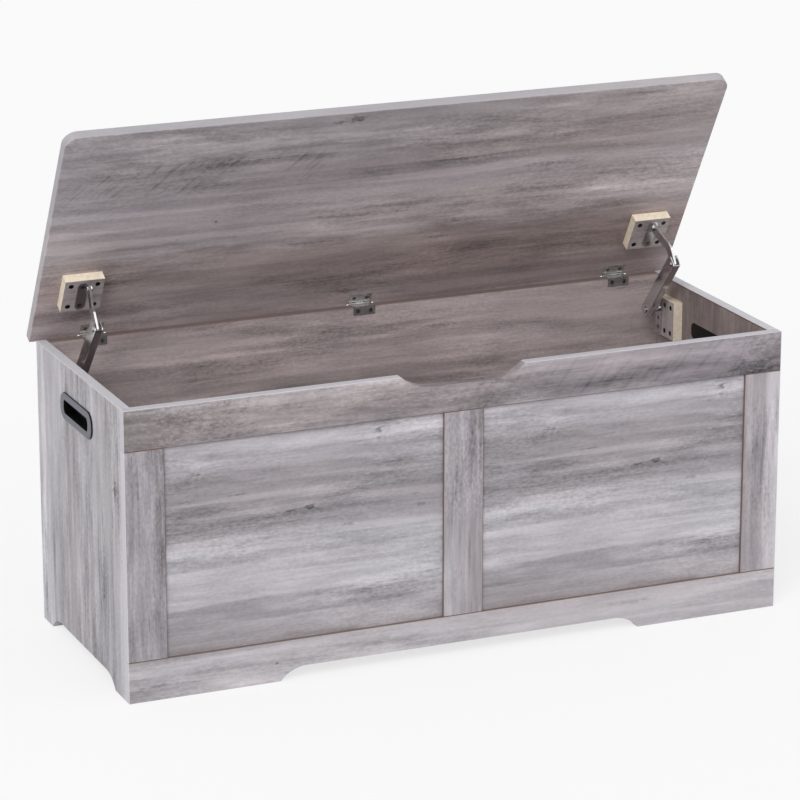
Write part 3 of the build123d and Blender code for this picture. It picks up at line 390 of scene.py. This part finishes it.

# Handle cups: moulded black plastic finger pulls let into slots in the sides. The grey of the face, with a
# fine grain, is painted sheen on the black plastic; its rim, the pocket and the back inside the chest are
# black.
HANDLE_BLACK = (7, 7, 8)
HANDLE_SHEEN_GREY = ((90, 90, 99), (110, 110, 120))
for name in ("left_handle_cup", "right_handle_cup"):
    low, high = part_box(name)
    face = max(-low.x, high.x)
    plastic = speckled(name + "_plastic", *HANDLE_SHEEN_GREY, 0.45, grain=1600.0)
    tree = plastic.node_tree
    shader = tree.nodes["Principled BSDF"]
    spot = tree.nodes.new("ShaderNodeTexCoord")
    out = sums(tree, "ABSOLUTE", parts_of(tree, spot.outputs["Object"])[0])
    sheen_grey = shader.inputs["Base Color"].links[0].from_socket
    # Painted sheen: the outer face is grey, the rest stays black.
    cover = ease(tree, out, face - 1.0 * MM, face - 0.3 * MM)
    feed(tree, shader.inputs["Base Color"], blend_colour(tree, cover, paint(HANDLE_BLACK), sheen_grey))
    shader.inputs["Specular IOR Level"].default_value = 0.2
    finish_nodes(plastic, name)

# Hinges: three pairs of pressed, nickel-plated leaves on ball-tipped pins, held by countersunk screws.
# The body leaf wraps over the top edge of the back, and the lid leaf lies under the lid.
LEAF_NICKEL = ((184, 181, 179), (198, 196, 195))
PIN_NICKEL = ((234, 234, 236), (246, 246, 248))
SCREW_NICKEL = ((108, 106, 106), (150, 148, 148))
finish_nodes(speckled("hinge_nickel", *LEAF_NICKEL, 0.22, 0.86, grain=60.0),
             "left_hinge_body_leaf", "centre_hinge_body_leaf", "right_hinge_body_leaf", "left_hinge_lid_leaf",
             "centre_hinge_lid_leaf", "right_hinge_lid_leaf")
finish_nodes(speckled("pin_nickel", *PIN_NICKEL, 0.08, 1.0, grain=60.0), "hinge_pins")
finish_nodes(speckled("screw_nickel", *SCREW_NICKEL, 0.25, 1.0),
             "hinge_body_screws", "hinge_lid_screws", "lid_bracket_screws", "stay_base_screws")

# Lid: one laminated board with rounded front corners, hinged along the back. Its underside shows long
# dark and pale streaks and slanting saw marks.
LID_OPEN = math.radians(60.0)
LID_UP = (0, -math.cos(LID_OPEN), math.sin(LID_OPEN))
LID_DEPTH = 0.3855
LID_EDGE = (163, 161, 166)
LID_SAW_ZONE = (-0.50, -0.11, 0.072, 0.130)
# The lid's bands, near and far, carry a warm pinkish tone: painted warm bounce light on the same grey print.
LID_BANDS = ((0.0, (160, 147, 148)), (0.13, (162, 149, 150)), (0.25, (165, 151, 151)),
             (0.34, (166, 153, 153)), (0.42, (171, 163, 166)), (0.54, (178, 170, 174)),
             (0.62, (163, 156, 161)), (0.70, (149, 143, 147)), (0.78, (144, 138, 142)),
             (0.88, (152, 147, 151)), (1.0, (160, 154, 158)))
LID_FAR = ((0.0, (153, 139, 139)), (0.13, (150, 136, 135)), (0.25, (148, 133, 132)),
           (0.34, (156, 143, 142)), (0.42, (180, 169, 171)), (0.54, (187, 178, 180)),
           (0.62, (176, 168, 171)), (0.70, (160, 151, 153)), (0.78, (156, 147, 148)),
           (0.88, (162, 153, 154)), (1.0, (164, 156, 158)))
LID_KNOTS = ((-0.076, 0.182, 0.018, 0.008, 0.50), (-0.102, 0.179, 0.014, 0.004, 0.40),
             (-0.420, 0.112, 0.060, 0.014, 0.14), (-0.250, 0.114, 0.060, 0.014, 0.16),
             (-0.180, 0.123, 0.080, 0.0016, 0.30), (-0.257, 0.009, 0.003, 0.003, 0.50),
             (-0.116, -0.050, 0.060, 0.0030, 0.26), (-0.026, -0.158, 0.036, 0.007, 0.28),
             (0.100, -0.066, 0.024, 0.004, 0.32), (0.110, 0.087, 0.036, 0.004, 0.28),
             (0.055, 0.130, 0.030, 0.004, 0.28), (0.225, 0.057, 0.036, 0.004, 0.24))
low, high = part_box("lid_board")
finish_nodes(laminate(
    "lid_laminate", (1, 0, 0), LID_UP, (low + high) / 2, LID_DEPTH, LID_BANDS, LID_FAR, contrast=1.1,
    knots=LID_KNOTS, saw=LID_SAW_ZONE, saw_depth=0.32, edge_band=LID_EDGE, seed=71.0), "lid_board")

# Packing blocks: offcuts of the same board under the lid and on the sides, four black screws each.
# The sawn edges are left raw and show pale wood round the laminated face.
RAW_EDGE = ((214, 200, 178), (233, 221, 203))
BLACK_STEEL = ((16, 16, 17), (34, 33, 34))
BLOCK_SPAN = 58 * MM
BLOCK_BANDS = ((0.0, (150, 142, 141)), (0.5, (158, 150, 150)), (1.0, (152, 145, 146)))
UNDER_LID = ((1, 0, 0), LID_UP)
ON_SIDE = ((0, 0, 1), (0, 1, 0))
for name, (along, across) in (("left_lid_block", UNDER_LID), ("right_lid_block", UNDER_LID),
                              ("left_side_block", ON_SIDE), ("right_side_block", ON_SIDE)):
    low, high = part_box(name)
    offcut = laminate(name + "_offcut", along, across, (low + high) / 2, BLOCK_SPAN, BLOCK_BANDS, seed=87.0)
    tree = offcut.node_tree
    shader = tree.nodes["Principled BSDF"]
    here = board_place(tree, along, across, (low + high) / 2)
    from_middle = sums(tree, "ABSOLUTE", parts_of(tree, here)[2])
    dust = ease(tree, cloud(tree, here, (220.0, 220.0, 220.0), 3.0), 0.2, 0.8)
    raw = ramp(tree, dust, ((0.0, RAW_EDGE[0]), (1.0, RAW_EDGE[1])))
    face = shader.inputs["Base Color"].links[0].from_socket
    cover = ease(tree, from_middle, HALF_BOARD - 0.4 * MM, HALF_BOARD - 0.1 * MM)
    feed(tree, shader.inputs["Base Color"], blend_colour(tree, cover, raw, face))
    finish_nodes(offcut, name)
finish_nodes(speckled("black_screw_steel", *BLACK_STEEL, 0.4, 0.6), "lid_block_screws", "side_block_screws")

# Lid stays: pressed and plated steel. A bracket on the lid block carries the bent link, and a channel
# arm turns on a stud of the base plate. Nylon washers rub at the elbow, so the lid stays where it is left.
STAY_NICKEL = ((204, 203, 204), (218, 217, 218))
# The washers are painted dark grey as painted shadow along the elbow; natural nylon is paler.
SHADED_WASHER_NYLON = ((66, 62, 58), (86, 82, 78))
STAYS = [side + "_" + part for side in ("left", "right")
         for part in ("stay_base", "stay_stud", "stay_channel", "stay_link", "lid_bracket", "elbow_rivet")]
finish_nodes(speckled("stay_nickel", *STAY_NICKEL, 0.14, 1.0, grain=60.0), *STAYS, "lid_pivot_rivets")
finish_nodes(speckled("washer_nylon", *SHADED_WASHER_NYLON, 0.5), "left_elbow_washers", "right_elbow_washers")

# Floor, light and camera: a plain pale floor under soft light from the front left and above.
FLOOR_HALF = 40.0
FLOOR_GREY = (0.80, 0.80, 0.81, 1.0)
FLOOR_GLOW = 0.72
WHITE = (1.0, 1.0, 1.0, 1.0)
AMBIENT = 0.62
CAMERA_AT = (-2.0151, -4.6715, 1.8590)
CAMERA_DOWN = 16.85
CAMERA_TURN = -23.21
FOCAL_LENGTH = 167.4
floor_mesh = bpy.data.meshes.new("floor")
sheet = bmesh.new()
bmesh.ops.create_grid(sheet, x_segments=1, y_segments=1, size=FLOOR_HALF)
sheet.to_mesh(floor_mesh)
sheet.free()
floor = bpy.data.objects.new("floor", floor_mesh)
bpy.context.scene.collection.objects.link(floor)
floor_paper, tree, shader = new_finish("floor_paper")
shader.inputs["Base Color"].default_value = FLOOR_GREY
shader.inputs["Roughness"].default_value = 0.9
shader.inputs["Specular IOR Level"].default_value = 0.0


def seen_directly(tree):
    """1 for rays that show a surface to the eye, straight or through a mirror or glass."""
    path = tree.nodes.new("ShaderNodeLightPath")
    direct = sums(tree, "MAXIMUM", path.outputs["Is Camera Ray"], path.outputs["Is Glossy Ray"])
    return sums(tree, "MAXIMUM", direct, path.outputs["Is Transmission Ray"])


white = tree.nodes.new("ShaderNodeEmission")
white.inputs["Color"].default_value = WHITE
mix = tree.nodes.new("ShaderNodeMixShader")
feed(tree, mix.inputs[0], sums(tree, "MULTIPLY", seen_directly(tree), FLOOR_GLOW))
tree.links.new(shader.outputs[0], mix.inputs[1])
tree.links.new(white.outputs[0], mix.inputs[2])
tree.links.new(mix.outputs[0], tree.nodes["Material Output"].inputs["Surface"])
floor_mesh.materials.append(floor_paper)

studio = bpy.data.worlds.new("studio")
studio.use_nodes = True
tree = studio.node_tree
sky = tree.nodes["Background"]
sky.inputs["Color"].default_value = WHITE
feed(tree, sky.inputs["Strength"], ease(tree, seen_directly(tree), 0.0, 1.0, AMBIENT, 1.0))
bpy.context.scene.world = studio


def soft_sun(name, direction, strength, spread, colour, mirrored):
    """Wide, soft light from a far lamp along a direction, seen in polished metal or not."""
    lamp = bpy.data.lights.new(name, "SUN")
    lamp.energy = strength
    lamp.angle = math.radians(spread)
    lamp.color = colour
    holder = bpy.data.objects.new(name, lamp)
    holder.rotation_mode = "QUATERNION"
    holder.rotation_quaternion = Vector(direction).to_track_quat("-Z", "Y")
    holder.visible_glossy = mirrored
    bpy.context.scene.collection.objects.link(holder)


soft_sun("key_light", (0.55, 0.62, -0.62), 1.92, 35.0, (1.0, 0.99, 0.98), False)
soft_sun("fill_light", (-0.6, 0.7, -0.4), 0.5, 70.0, (1.0, 1.0, 1.0), True)

lens = bpy.data.cameras.new("camera")
lens.sensor_width = 36.0
lens.lens = FOCAL_LENGTH
lens.clip_end = 200.0
camera = bpy.data.objects.new("camera", lens)
camera.location = CAMERA_AT
camera.rotation_euler = (math.radians(90.0 - CAMERA_DOWN), 0.0, math.radians(CAMERA_TURN))
bpy.context.scene.collection.objects.link(camera)
bpy.context.scene.camera = camera
bpy.context.scene.view_settings.view_transform = "Standard"
